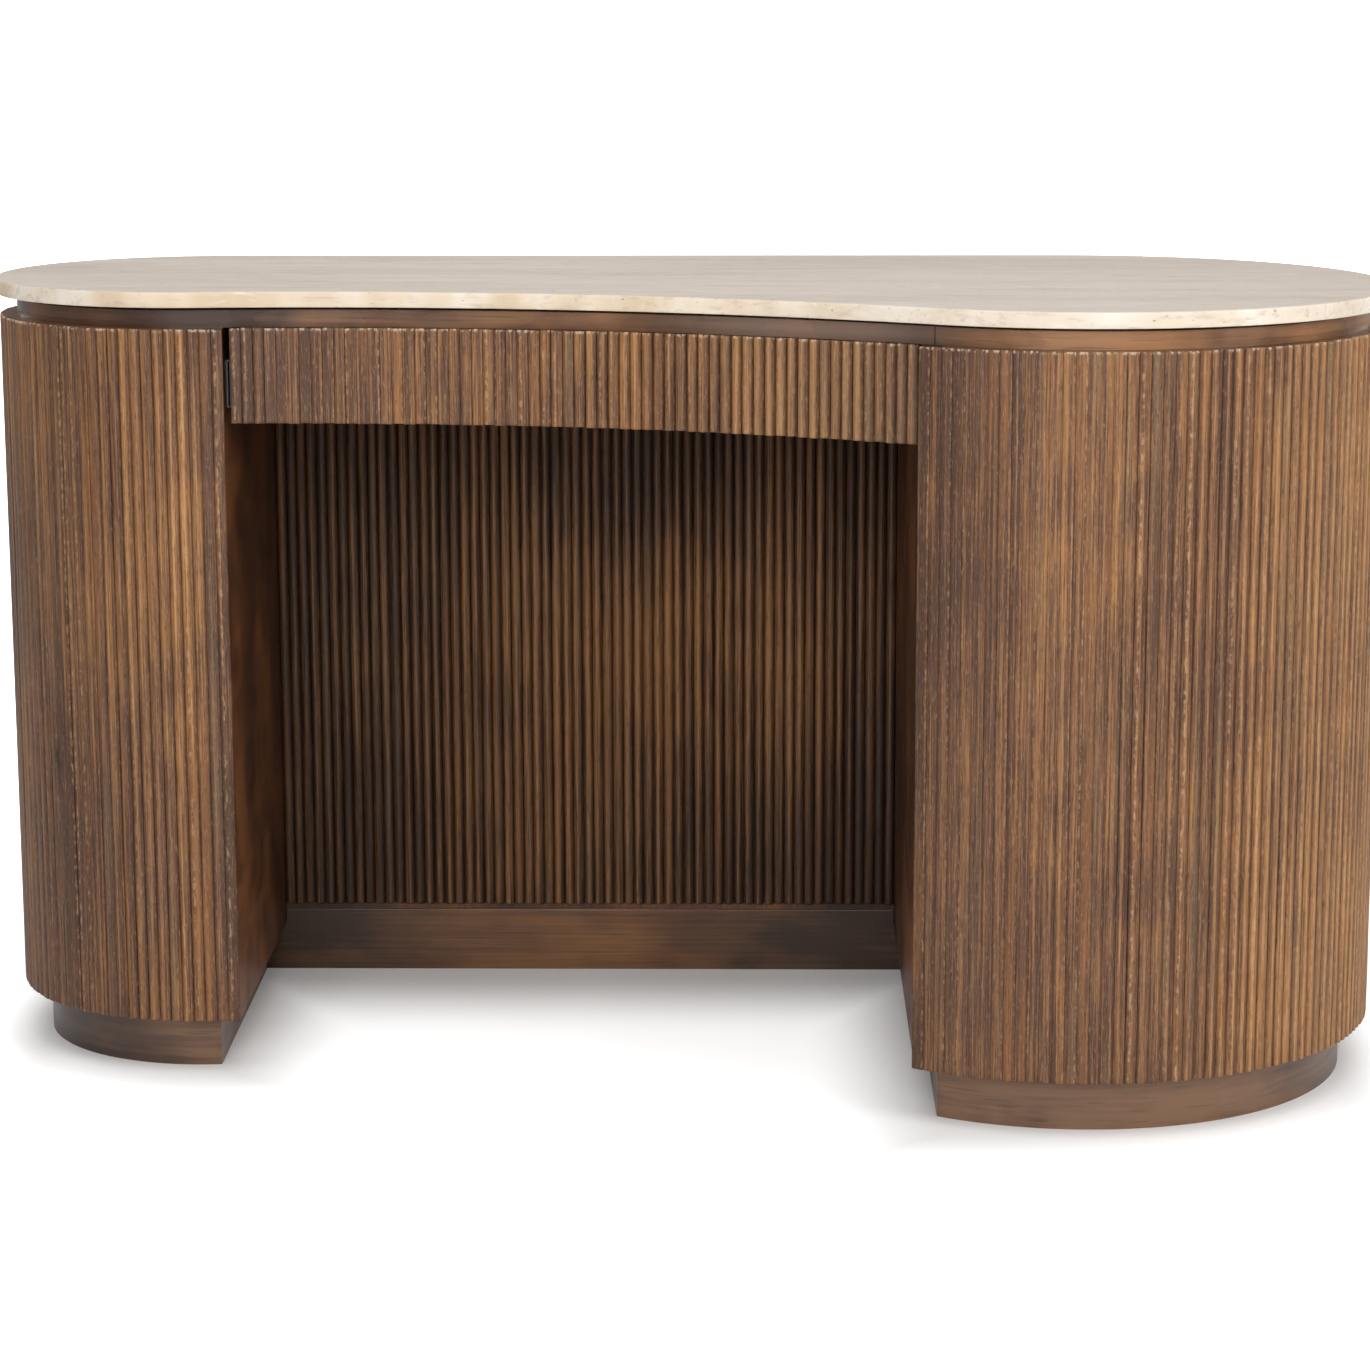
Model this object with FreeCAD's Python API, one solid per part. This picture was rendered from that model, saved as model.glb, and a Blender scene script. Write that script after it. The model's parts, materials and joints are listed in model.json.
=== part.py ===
import FreeCAD, Part
import math
import os

# Kidney-plan writing desk: a stone slab on two closed pedestals clad in tambour slats,
# with a hollow-fronted drawer on telescopic runners between them.
# Millimetres. +Z is up, +X is to the sitter's right, and the sitter's side faces -Y.
# The origin is on the floor, under the centre of the slab's length and depth.

Vector = FreeCAD.Vector

# Overall form, measured at the slab's edge
desk_width = 1354.0
desk_height = 760.0
big_lobe_radius = 298.0
small_lobe_radius = 201.5
front_hollow_radius = 1150.0

# Slab and frieze
slab_thickness = 15.0
slab_edge_bevel = 1.6
slab_overhang = 3.5
frieze_height = 20.5
frieze_setback = 17.0
frieze_shadow_gap = 4.0
lipping_thickness = 8.0
frieze_left_seam_offset = 8.0
frieze_right_seam_offset = 12.0

# Tambour slats
slat_pitch = 11.0
slat_thickness = 6.0
slat_side_height = 3.6
slat_bevel = 2.8
slat_gap = 0.5
slat_glue_line = 0.2
kneehole_slat_pitch = 10.6
kneehole_slat_side_height = 2.0
kneehole_slat_bevel = 3.3
kneehole_slat_end_gap = 6.0

# Pedestals and back wall
left_pedestal_width = 246.5
right_pedestal_width = 458.5
board_thickness = 18.0
back_panel_thickness = 15.0
shell_thickness = 9.0
former_thickness = 12.0

# Plinth and kneehole rail
plinth_height = 51.0
plinth_setback = 26.5
plinth_thickness = 14.0
plinth_inner_recess = 22.0
rail_height = 66.0
rail_setback = 3.0

# Drawer
drawer_front_height = 87.5
drawer_front_thickness = 18.0
drawer_top_gap = 2.0
drawer_slat_rise = 3.0
drawer_left_gap = 6.5
drawer_right_gap = 2.0
drawer_side_thickness = 12.0
drawer_side_height = 64.0
drawer_side_lift = 1.5
drawer_bottom_thickness = 6.0
drawer_bottom_lift = 8.0
drawer_groove_depth = 6.0
drawer_groove_clearance = 0.15
drawer_back_gap = 36.0

# Telescopic runner
runner_front_gap = 2.0
runner_height = 45.0
runner_width = 12.7
runner_sheet = 1.2
runner_drop = 30.0
runner_lip = 2.0
runner_clearance = 0.3

# Lobe centres, with the back edge straight and tangent to both lobes
big_centre = Vector(desk_width / 2 - big_lobe_radius, 0, 0)
small_centre = Vector(small_lobe_radius - desk_width / 2, big_lobe_radius - small_lobe_radius, 0)


def hollow_circle_centre():
    """Centre of the front hollow: its circle touches both lobes from outside."""
    across = small_centre - big_centre
    big_reach = big_lobe_radius + front_hollow_radius
    small_reach = small_lobe_radius + front_hollow_radius
    along = (big_reach ** 2 - small_reach ** 2 + across.Length ** 2) / (2 * across.Length)
    away = math.sqrt(big_reach ** 2 - along ** 2)
    across.normalize()
    forward = Vector(across.y, -across.x, 0)
    if forward.y > 0:
        forward = forward * -1
    return big_centre + across * along + forward * away


hollow_centre = hollow_circle_centre()

# Levels
slab_bottom_z = desk_height - slab_thickness
frieze_bottom_z = slab_bottom_z - frieze_height
pedestal_bottom_z = plinth_height
drawer_top_z = frieze_bottom_z - drawer_top_gap
drawer_bottom_z = drawer_top_z - drawer_front_height

# Insets from the slab's edge
frieze_inset = slab_overhang + frieze_setback
core_inset = frieze_inset + lipping_thickness
slat_back_inset = slab_overhang + slat_thickness
shell_inner_inset = slat_back_inset + shell_thickness
plinth_inset = slab_overhang + plinth_setback
drawer_core_inset = slat_back_inset + drawer_front_thickness

# Kneehole planes
kneehole_left_x = left_pedestal_width - desk_width / 2
kneehole_right_x = desk_width / 2 - right_pedestal_width
kneehole_width = kneehole_right_x - kneehole_left_x
back_panel_rear_y = big_lobe_radius - slat_back_inset
back_panel_front_y = back_panel_rear_y - back_panel_thickness
kneehole_slat_face_y = back_panel_front_y - slat_thickness
drawer_back_y = kneehole_slat_face_y - drawer_back_gap

far = 2 * (desk_width + desk_height)


def block(x_low, x_high, y_low, y_high, z_low, z_high):
    """A box between two corners."""
    return Part.makeBox(x_high - x_low, y_high - y_low, z_high - z_low, Vector(x_low, y_low, z_low))


def outline(inset):
    """The kidney as a list of runs, each at the given inset from the slab's edge.

    The runs follow one another: back, big lobe, front hollow, small lobe. An arc is
    its centre, radius, first angle and sweep; the back is a line from its first end.
    """
    big_radius = big_lobe_radius - inset
    small_radius = small_lobe_radius - inset
    hollow_radius = front_hollow_radius + inset
    to_big = big_centre - hollow_centre
    to_small = small_centre - hollow_centre
    hollow_start = math.atan2(to_big.y, to_big.x)
    hollow_end = math.atan2(to_small.y, to_small.x)
    big_end = hollow_start - math.pi
    small_start = hollow_end - math.pi
    back_y = big_lobe_radius - inset
    quarter = math.pi / 2
    return [
        {"start": Vector(small_centre.x, back_y, 0), "length": big_centre.x - small_centre.x},
        {"centre": big_centre, "radius": big_radius, "angle": quarter, "sweep": big_end - quarter, "bulge": 1},
        {"centre": hollow_centre, "radius": hollow_radius, "angle": hollow_start,
         "sweep": hollow_end - hollow_start, "bulge": -1},
        {"centre": small_centre, "radius": small_radius, "angle": small_start,
         "sweep": -3 * quarter - small_start, "bulge": 1},
    ]


def run_length(run):
    """Length of one run of the outline."""
    if "centre" in run:
        return run["radius"] * abs(run["sweep"])
    return run["length"]


def on_run(run, distance):
    """Point on a run and the direction that faces out of the desk there."""
    if "centre" not in run:
        return run["start"] + Vector(distance, 0, 0), Vector(0, 1, 0)
    angle = run["angle"] + math.copysign(distance / run["radius"], run["sweep"])
    radial = Vector(math.cos(angle), math.sin(angle), 0)
    return run["centre"] + radial * run["radius"], radial * run["bulge"]


def station(runs, distance):
    """Run, point and outward direction at a distance along the whole outline."""
    distance = distance % sum(run_length(run) for run in runs)
    for run in runs:
        if distance <= run_length(run):
            return run, *on_run(run, distance)
        distance -= run_length(run)
    return runs[-1], *on_run(runs[-1], run_length(runs[-1]))


def front_distance(runs, x):
    """Distance along the outline at which its front edge crosses a given x."""
    back, big, hollow, small = runs
    before_hollow = run_length(back) + run_length(big)
    if x > on_run(hollow, 0)[0].x:
        angle = -math.acos((x - big_centre.x) / big["radius"])
        return run_length(back) + (big["angle"] - angle) * big["radius"]
    if x > on_run(small, 0)[0].x:
        angle = math.acos((x - hollow_centre.x) / hollow["radius"])
        return before_hollow + (angle - hollow["angle"]) * hollow["radius"]
    angle = -math.acos((x - small_centre.x) / small["radius"])
    return before_hollow + run_length(hollow) + (small["angle"] - angle) * small["radius"]


def kidney(inset, z_low, z_high):
    """Solid of the kidney plan, drawn in from the slab's edge by the inset."""
    edges = []
    for run in outline(inset):
        first, middle, last = (on_run(run, run_length(run) * share)[0] for share in (0, 0.5, 1))
        if "centre" in run:
            edges.append(Part.Arc(first, middle, last).toShape())
        else:
            edges.append(Part.LineSegment(first, last).toShape())
    face = Part.Face(Part.Wire(edges))
    face.translate(Vector(0, 0, z_low))
    return face.extrude(Vector(0, 0, z_high - z_low))


def kidney_ring(outer_inset, inner_inset, z_low, z_high):
    """Upright band that follows the kidney plan between two insets."""
    return kidney(outer_inset, z_low, z_high).cut(kidney(inner_inset, z_low, z_high))


def keep(shape, x_low=-far, x_high=far, y_low=-far, y_high=far):
    """The part of a shape between the given planes."""
    return shape.common(block(x_low, x_high, y_low, y_high, -far, far))


def front_part(shape):
    """The part of a shape on the sitter's side of the desk."""
    return keep(shape, y_high=small_centre.y)


def rear_part(shape):
    """The part of a shape on the far side of the desk."""
    return keep(shape, y_low=small_centre.y)


def slat(width, side_height, bevel, z_low, z_high, point, outward, lift):
    """One reed: flat back, short sides and a crown eased by two broad bevels."""
    along = Vector(outward.y, -outward.x, 0)
    half = width / 2
    profile = [
        (-half, lift), (half, lift), (half, side_height), (half - bevel, slat_thickness),
        (bevel - half, slat_thickness), (-half, side_height),
    ]
    corners = [point + along * across + outward * out + Vector(0, 0, z_low) for across, out in profile]
    face = Part.Face(Part.makePolygon(corners + corners[:1]))
    return face.extrude(Vector(0, 0, z_high - z_low))


def slats_round(first, last, z_low, z_high):
    """Slats side by side along the outline, between two distances on it."""
    runs = outline(slat_back_inset)
    count = max(1, round((last - first) / slat_pitch))
    pitch = (last - first) / count
    slats = []
    for index in range(count):
        run, point, outward = station(runs, first + (index + 0.5) * pitch)
        width = pitch - slat_gap
        hollow = run.get("bulge") == -1
        lift = slat_glue_line + width ** 2 / (8 * run["radius"]) if hollow else 0
        slats.append(slat(width, slat_side_height, slat_bevel, z_low, z_high, point, outward, lift))
    return Part.makeCompound(slats)


def stone_top():
    """Travertine slab with its upper edge bevelled."""
    slab = kidney(0, slab_bottom_z, desk_height)
    rims = [edge for edge in slab.Edges if edge.BoundBox.ZMin > desk_height - slab_edge_bevel]
    return slab.makeChamfer(slab_edge_bevel, rims)


def frieze():
    """The lippings round the sub-top, a shadow gap below the slab, split at the butt joints."""
    ring = kidney_ring(frieze_inset, core_inset, frieze_bottom_z, slab_bottom_z - frieze_shadow_gap)
    left_seam_x = kneehole_left_x - frieze_left_seam_offset
    right_seam_x = kneehole_right_x + frieze_right_seam_offset
    middle = keep(ring, x_low=left_seam_x, x_high=right_seam_x)
    return {
        "frieze_left": keep(ring, x_high=left_seam_x),
        "frieze_right": keep(ring, x_low=right_seam_x),
        "frieze_front": front_part(middle),
        "frieze_back": rear_part(middle),
    }


def pedestal(side):
    """Boards, shell and plinth of one closed pedestal: side is -1 for left, 1 for right."""
    name = "left" if side < 0 else "right"
    kneehole_x = kneehole_left_x if side < 0 else kneehole_right_x

    def beyond(shape, depth):
        """What lies further from the kneehole than a depth behind its side."""
        edge = kneehole_x + side * depth
        return keep(shape, x_high=edge) if side < 0 else keep(shape, x_low=edge)

    def between(shape, near, deep):
        """What lies between two depths behind the kneehole's side."""
        return keep(shape, *sorted((kneehole_x + side * near, kneehole_x + side * deep)))

    def level(z_low, thickness):
        """A shaped board inside the shell."""
        return beyond(kidney(shell_inner_inset, z_low, z_low + thickness), board_thickness)

    body_height = frieze_bottom_z - pedestal_bottom_z
    shell = kidney_ring(slat_back_inset, shell_inner_inset, pedestal_bottom_z, frieze_bottom_z)
    panel = kidney(slat_back_inset, pedestal_bottom_z, frieze_bottom_z)
    plinth_depth = plinth_inner_recess + plinth_thickness
    plinth_ring = kidney_ring(plinth_inset, plinth_inset + plinth_thickness, 0, plinth_height)
    return {
        name + "_inner_panel": between(panel, 0, board_thickness),
        name + "_shell": beyond(shell, board_thickness),
        name + "_top_board": level(frieze_bottom_z - board_thickness, board_thickness),
        name + "_former": level(pedestal_bottom_z + body_height / 2, former_thickness),
        name + "_bottom_board": level(pedestal_bottom_z, board_thickness),
        name + "_plinth_band": beyond(plinth_ring, plinth_depth),
        name + "_plinth_side": between(kidney(plinth_inset, 0, plinth_height), plinth_inner_recess, plinth_depth),
    }


def tambour():
    """The fixed slats of both pedestals and of the back."""
    runs = outline(slat_back_inset)
    around = sum(run_length(run) for run in runs)
    back_left = kneehole_left_x - small_centre.x
    back_right = kneehole_right_x - small_centre.x
    front_left = front_distance(runs, kneehole_left_x)
    front_right = front_distance(runs, kneehole_right_x)
    return {
        "left_slats": slats_round(front_left, around + back_left, pedestal_bottom_z, frieze_bottom_z),
        "right_slats": slats_round(back_right, front_right, pedestal_bottom_z, frieze_bottom_z),
        "back_slats": slats_round(back_left, back_right, pedestal_bottom_z, frieze_bottom_z),
    }


def back_panel():
    """Board between the pedestals, which closes the kneehole above its rail."""
    return block(kneehole_left_x, kneehole_right_x, back_panel_front_y, back_panel_rear_y,
                 rail_height, frieze_bottom_z)


def kneehole_slats():
    """Rounder reeds on the kneehole side of the back panel."""
    count = round(kneehole_width / kneehole_slat_pitch)
    pitch = kneehole_width / count
    z_low = rail_height + kneehole_slat_end_gap
    slats = []
    for index in range(count):
        point = Vector(kneehole_left_x + (index + 0.5) * pitch, back_panel_front_y, 0)
        slats.append(slat(pitch - slat_gap, kneehole_slat_side_height, kneehole_slat_bevel,
                          z_low, frieze_bottom_z, point, Vector(0, -1, 0), 0))
    return Part.makeCompound(slats)


def kneehole_rail():
    """Board on the floor that carries the back panel; its ends reach under the side panels."""
    wide_low = kneehole_left_x - plinth_inner_recess
    wide_high = kneehole_right_x + plinth_inner_recess
    profile = [
        (wide_low, 0), (wide_high, 0), (wide_high, plinth_height), (kneehole_right_x, plinth_height),
        (kneehole_right_x, rail_height), (kneehole_left_x, rail_height),
        (kneehole_left_x, plinth_height), (wide_low, plinth_height),
    ]
    front_y = kneehole_slat_face_y + rail_setback
    points = [Vector(x, front_y, z) for x, z in profile]
    face = Part.Face(Part.makePolygon(points + points[:1]))
    return face.extrude(Vector(0, back_panel_rear_y - front_y, 0))


def drawer():
    """Hollow-curved front with reeds that rise past it to hide the gap above, and the box behind it."""
    front_left_x = kneehole_left_x + drawer_left_gap
    front_right_x = kneehole_right_x - drawer_right_gap
    ring = front_part(kidney_ring(slat_back_inset, drawer_core_inset, drawer_bottom_z, drawer_top_z))
    runs = outline(slat_back_inset)
    slats = slats_round(front_distance(runs, front_right_x), front_distance(runs, front_left_x),
                        drawer_bottom_z, drawer_top_z + drawer_slat_rise)

    box_left_x = kneehole_left_x + runner_width
    box_right_x = kneehole_right_x - runner_width
    inside_left_x = box_left_x + drawer_side_thickness
    inside_right_x = box_right_x - drawer_side_thickness
    side_low_z = drawer_bottom_z + drawer_side_lift
    side_high_z = side_low_z + drawer_side_height
    sides = keep(kidney(drawer_core_inset, side_low_z, side_high_z), y_high=drawer_back_y)

    panel_low_z = side_low_z + drawer_bottom_lift
    panel_high_z = panel_low_z + drawer_bottom_thickness
    tongue = drawer_groove_depth - drawer_groove_clearance
    panel = keep(kidney(drawer_core_inset, panel_low_z, panel_high_z),
                 inside_left_x - tongue, inside_right_x + tongue, y_high=drawer_back_y)
    groove = block(inside_left_x - drawer_groove_depth, inside_right_x + drawer_groove_depth, -far, far,
                   panel_low_z - drawer_groove_clearance, panel_high_z + drawer_groove_clearance)
    return {
        "drawer_front": keep(ring, front_left_x, front_right_x),
        "drawer_slats": slats,
        "drawer_left_side": keep(sides, box_left_x, inside_left_x).cut(groove),
        "drawer_right_side": keep(sides, inside_right_x, box_right_x).cut(groove),
        "drawer_bottom": panel,
        "drawer_back": block(inside_left_x, inside_right_x, drawer_back_y - drawer_side_thickness,
                             drawer_back_y, panel_high_z, side_high_z),
    }


def runner_member(y_low, y_high, web_x, web_half, strips):
    """Folded steel section: an upright web and, above and below it, flanges, lips and ears.

    Each strip is its first and last x and its two heights from the runner's middle.
    """
    pieces = []
    for x_low, x_high, z_low, z_high in strips:
        pieces.append(block(x_low, x_high, y_low, y_high, z_low, z_high))
        pieces.append(block(x_low, x_high, y_low, y_high, -z_high, -z_low))
    web = block(web_x, web_x + runner_sheet, y_low, y_high, -web_half, web_half)
    return web.fuse(pieces).removeSplitter()


def runner(side):
    """Telescopic runner on one side of the kneehole: side is -1 for left, 1 for right.

    Three members hook into one another. Their folds share five layers between the
    kneehole's side, at x = 0, and the drawer's side.
    """
    name = "left" if side < 0 else "right"
    y_high = drawer_back_y
    y_low = hollow_centre.y + front_hollow_radius + drawer_core_inset + runner_front_gap
    layers = [index * (runner_width - runner_sheet) / 4 for index in range(5)]
    ends = [layer + runner_sheet for layer in layers]
    hook = runner_sheet + runner_lip + runner_clearance
    outer_top = runner_height / 2
    outer_under = outer_top - runner_sheet
    middle_top = outer_top - hook
    middle_under = middle_top - runner_sheet
    inner_top = middle_top - hook
    inner_under = inner_top - runner_sheet
    members = {
        "runner_outer": runner_member(y_low, y_high, layers[0], outer_top, [
            (layers[0], ends[2], outer_under, outer_top),
            (layers[2], ends[2], outer_under - runner_lip, outer_under),
        ]),
        "runner_middle": runner_member(y_low, y_high, layers[1], outer_under - runner_clearance, [
            (layers[1], ends[3], middle_under, middle_top),
            (layers[3], ends[3], middle_under - runner_lip, middle_under),
        ]),
        "runner_inner": runner_member(y_low, y_high, layers[4], inner_top, [
            (layers[2], ends[4], inner_under, inner_top),
            (layers[2], ends[2], inner_under, middle_under - runner_clearance),
        ]),
    }
    middle_z = drawer_top_z - runner_drop - outer_top
    placed = {}
    for member, shape in members.items():
        if side > 0:
            shape = shape.mirror(Vector(0, 0, 0), Vector(1, 0, 0))
        kneehole_x = kneehole_left_x if side < 0 else kneehole_right_x
        shape.translate(Vector(kneehole_x, 0, middle_z))
        placed[name + "_" + member] = shape
    return placed


nodes = {
    "stone_top": stone_top(),
    "sub_top": kidney(core_inset, frieze_bottom_z, slab_bottom_z),
    "back_panel": back_panel(),
    "kneehole_slats": kneehole_slats(),
    "kneehole_rail": kneehole_rail(),
}
nodes.update(frieze())
nodes.update(pedestal(-1))
nodes.update(pedestal(1))
nodes.update(tambour())
nodes.update(drawer())
nodes.update(runner(-1))
nodes.update(runner(1))

os.makedirs("parts", exist_ok=True)
for node_name, node_shape in nodes.items():
    node_shape.exportStep("parts/" + node_name + ".step")
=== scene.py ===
import bmesh
import bpy
import json
import math
import random
from mathutils import Matrix, Vector, noise


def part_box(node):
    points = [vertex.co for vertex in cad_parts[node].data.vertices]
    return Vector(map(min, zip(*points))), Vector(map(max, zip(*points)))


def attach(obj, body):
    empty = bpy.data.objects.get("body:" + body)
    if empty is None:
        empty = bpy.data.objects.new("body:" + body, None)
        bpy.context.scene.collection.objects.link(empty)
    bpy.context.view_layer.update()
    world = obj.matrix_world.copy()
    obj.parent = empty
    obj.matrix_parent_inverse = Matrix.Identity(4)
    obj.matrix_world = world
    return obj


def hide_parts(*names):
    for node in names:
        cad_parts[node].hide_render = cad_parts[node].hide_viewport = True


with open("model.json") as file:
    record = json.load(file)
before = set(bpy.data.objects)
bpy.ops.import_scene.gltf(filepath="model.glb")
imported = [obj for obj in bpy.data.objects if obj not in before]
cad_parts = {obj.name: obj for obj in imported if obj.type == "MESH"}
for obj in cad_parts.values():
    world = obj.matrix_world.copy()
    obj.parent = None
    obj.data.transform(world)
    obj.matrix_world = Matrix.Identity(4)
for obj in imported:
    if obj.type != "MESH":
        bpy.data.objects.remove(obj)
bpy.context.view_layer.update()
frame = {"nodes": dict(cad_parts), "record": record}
nodes = frame["nodes"]

# Metres. The desk stands on the floor at z = 0, and its sitter's side faces -Y.
mm = 0.001
photo_pixels = 1370

# Camera, as fitted to the photo
focal_pixels = 3692.9
sensor_width_mm = 36.0
camera_place = Vector((0.0656, -3.5442, 1.0844))
camera_pitch_degrees = 11.4657
camera_turn_degrees = 1.0376
camera_roll_degrees = -0.1387

# Section of a slat: its crown's drop to the sides, and the power of the curve, from flat to round
flat_drop = 0.35 * mm
round_drop = 2.6 * mm
reed_drop = 4.8 * mm
flat_power = 3.2
round_power = 2.0
least_power = 1.7
crown_steps = 10

# Painted light and shade across a slat's section, from light crown to dark groove: its strength, the offset
# of its lightest line to one side, and the crown's painted lift
flat_painted_relief = 0.06
round_painted_relief = 0.38
reed_painted_relief = 0.48
painted_light_offset = 0.22
painted_crown_highlight = 0.5

# Rings along a slat, and its eased and rubbed ends
slat_ring_count = 16
slat_end_ease = 0.9 * mm
slat_end_wear = 3.0 * mm
end_width_share = 0.95
end_depth_share = 0.9

# How slats differ from one another
width_shares = (1.02, 1.045)
lobe_spread = 0.035
depth_shares = (0.93, 1.0)
most_lean = 0.05
roundness_spread = 0.25
foot_play = 0.9 * mm
top_play = 0.5 * mm
group_tone = 0.10
groups_per_metre = 38
tone_spread = 0.05
smoke_spread = 0.05
sway_reach = 0.16 * mm
swell_share = 0.03

# Pale lines on slats, rubbed, and on the crown of a round slat also a painted highlight: strength, and place
# and reach across a half width of 1
rub_and_highlight_strengths = (0.25, 0.7)
crown_rub_and_highlight_place = 0.3
crown_rub_and_highlight_reach = 0.35
side_wear_place = 0.86
side_wear_reach = 0.2

# Look of slats that face the back: tone at the top and at the foot, smokiness, roundness
rear_look = (0.40, 0.34, 0.04, 0.9)

# Slab
weld_distance = 0.01 * mm
slab_outline_step = 2.5 * mm
slab_smoothing_rounds = 12
slab_edge_round = 1.5 * mm
slab_edge_band = 5.0 * mm
slab_waver = 0.25 * mm
wavers_per_metre = 22
slab_chip = 3.2 * mm
chips_per_metre = 75
chip_threshold = 0.42

# Kneehole rail
rail_tongue = 12.0 * mm
rail_edge_round = 0.8 * mm

# Light that the air of the studio gives
air_fill = 0.12

# Glow of the floor as (distance from, distance to, glow before, glow after); the low glow near the plinths
# and the rail is a painted shadow
plinth_shade = (0.0, 0.14, 0.05, 0.60)
rail_shade = (0.02, 0.24, 0.06, 0.60)
open_floor_glow = (0.3, 1.2, 0.0, 0.9)
outer_floor_glow = (0.63, 0.72, 0.0, 0.45)


def linear(red, green, blue):
    """A colour as seen in the photo, 0 to 255, turned into the linear values that shaders take."""
    channels = []
    for value in (red, green, blue):
        share = value / 255
        channels.append(share / 12.92 if share <= 0.04045 else ((share + 0.055) / 1.055) ** 2.4)
    return (*channels, 1.0)


class Shader:
    """A node material under construction: each method adds nodes and returns the last one's output."""

    def __init__(self, name):
        self.material = bpy.data.materials.new(name)
        self.material.use_nodes = True
        self.tree = self.material.node_tree
        self.surface = self.tree.nodes["Principled BSDF"]

    def set_input(self, socket, value):
        """Give a socket a constant or a link."""
        if isinstance(value, bpy.types.NodeSocket):
            self.tree.links.new(value, socket)
        else:
            socket.default_value = value

    def finish_with(self, **inputs):
        """Set the surface's own sockets; underscores stand for spaces."""
        for name, value in inputs.items():
            self.set_input(self.surface.inputs[name.replace("_", " ")], value)
        return self.material

    def attribute(self, name, output="Fac"):
        node = self.tree.nodes.new("ShaderNodeAttribute")
        node.attribute_name = name
        return node.outputs[output]

    def place(self):
        return self.tree.nodes.new("ShaderNodeTexCoord").outputs["Object"]

    def facing_up(self):
        normal = self.tree.nodes.new("ShaderNodeTexCoord").outputs["Normal"]
        return self.part(normal, "Z")

    def part(self, vector, axis):
        node = self.tree.nodes.new("ShaderNodeSeparateXYZ")
        self.set_input(node.inputs[0], vector)
        return node.outputs[axis]

    def stretch(self, vector, scale, shift):
        node = self.tree.nodes.new("ShaderNodeMapping")
        self.set_input(node.inputs["Vector"], vector)
        node.inputs["Scale"].default_value = scale
        node.inputs["Location"].default_value = shift
        return node.outputs[0]

    def clouds(self, vector, scale, detail, roughness, distortion=0.0, shift=(0.0, 0.0, 0.0)):
        node = self.tree.nodes.new("ShaderNodeTexNoise")
        self.set_input(node.inputs["Vector"], self.stretch(vector, scale, shift))
        node.inputs["Scale"].default_value = 1.0
        node.inputs["Detail"].default_value = detail
        node.inputs["Roughness"].default_value = roughness
        node.inputs["Distortion"].default_value = distortion
        return node.outputs["Fac"]

    def cells(self, vector, scale, shift):
        node = self.tree.nodes.new("ShaderNodeTexVoronoi")
        self.set_input(node.inputs["Vector"], self.stretch(vector, scale, shift))
        node.inputs["Scale"].default_value = 1.0
        node.inputs["Randomness"].default_value = 1.0
        return node.outputs["Distance"]

    def ramp(self, value, low, high, to_low=0.0, to_high=1.0):
        node = self.tree.nodes.new("ShaderNodeMapRange")
        node.interpolation_type = "SMOOTHSTEP"
        self.set_input(node.inputs["Value"], value)
        node.inputs["From Min"].default_value = low
        node.inputs["From Max"].default_value = high
        node.inputs["To Min"].default_value = to_low
        node.inputs["To Max"].default_value = to_high
        return node.outputs[0]

    def swing(self, value, low, high, amount):
        """From minus the amount at low to plus the amount at high."""
        return self.ramp(value, low, high, -amount, amount)

    def colours(self, value, stops):
        node = self.tree.nodes.new("ShaderNodeValToRGB")
        self.set_input(node.inputs[0], value)
        elements = node.color_ramp.elements
        while len(elements) < len(stops):
            elements.new(0.5)
        for element, (position, colour) in zip(elements, stops):
            element.position = position
            element.color = colour
        return node.outputs["Color"]

    def mix(self, share, first, second):
        node = self.tree.nodes.new("ShaderNodeMix")
        node.data_type = "RGBA"
        self.set_input(node.inputs["Factor"], share)
        self.set_input(node.inputs["A"], first)
        self.set_input(node.inputs["B"], second)
        return node.outputs["Result"]

    def calc(self, operation, first, second):
        node = self.tree.nodes.new("ShaderNodeMath")
        node.operation = operation
        self.set_input(node.inputs[0], first)
        self.set_input(node.inputs[1], second)
        return node.outputs[0]

    def add(self, first, second):
        return self.calc("ADD", first, second)

    def times(self, first, second):
        return self.calc("MULTIPLY", first, second)

    def apart(self, value, centre):
        """How far a value is from a centre, either way."""
        return self.calc("ABSOLUTE", self.calc("SUBTRACT", value, centre), 0.0)

    def length(self, vector):
        node = self.tree.nodes.new("ShaderNodeVectorMath")
        node.operation = "LENGTH"
        self.set_input(node.inputs[0], vector)
        return node.outputs["Value"]

    def from_lobe(self, node_name, inward):
        """Distance in plan from a lobe: half an ellipse whose straight side faces inward, to +X or -X."""
        low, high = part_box(node_name)
        straight_x = high.x if inward > 0 else low.x
        reach = high.x - low.x
        half_depth = (high.y - low.y) / 2
        middle_y = (high.y + low.y) / 2
        shift = (-straight_x / reach, -middle_y / half_depth, 0.0)
        offset = self.stretch(self.place(), (1 / reach, 1 / half_depth, 0.0), shift)
        past_round = self.times(self.calc("SUBTRACT", self.length(offset), 1.0), half_depth)
        past_straight = self.times(self.part(offset, "X"), inward * reach)
        return self.calc("MAXIMUM", past_round, past_straight)

    def blotches(self):
        """Soft patches of shading, some 20 cm across, as sprayed over the whole desk."""
        return self.clouds(self.place(), (5.5, 5.5, 4.2), 3.0, 0.5, 0.6)

    def bump(self, height, strength, distance):
        node = self.tree.nodes.new("ShaderNodeBump")
        self.set_input(node.inputs["Height"], height)
        node.inputs["Strength"].default_value = strength
        node.inputs["Distance"].default_value = distance
        return node.outputs[0]


# Wood colours
honey = linear(186, 138, 90)
golden = linear(163, 114, 65)
tan = linear(139, 97, 61)
brown = linear(114, 78, 54)
umber = linear(78, 52, 38)
smoke = linear(98, 78, 67)
soot = linear(36, 24, 17)
bare_fibre = linear(222, 200, 174)
painted_sheen_grey = linear(154, 132, 120)


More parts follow.
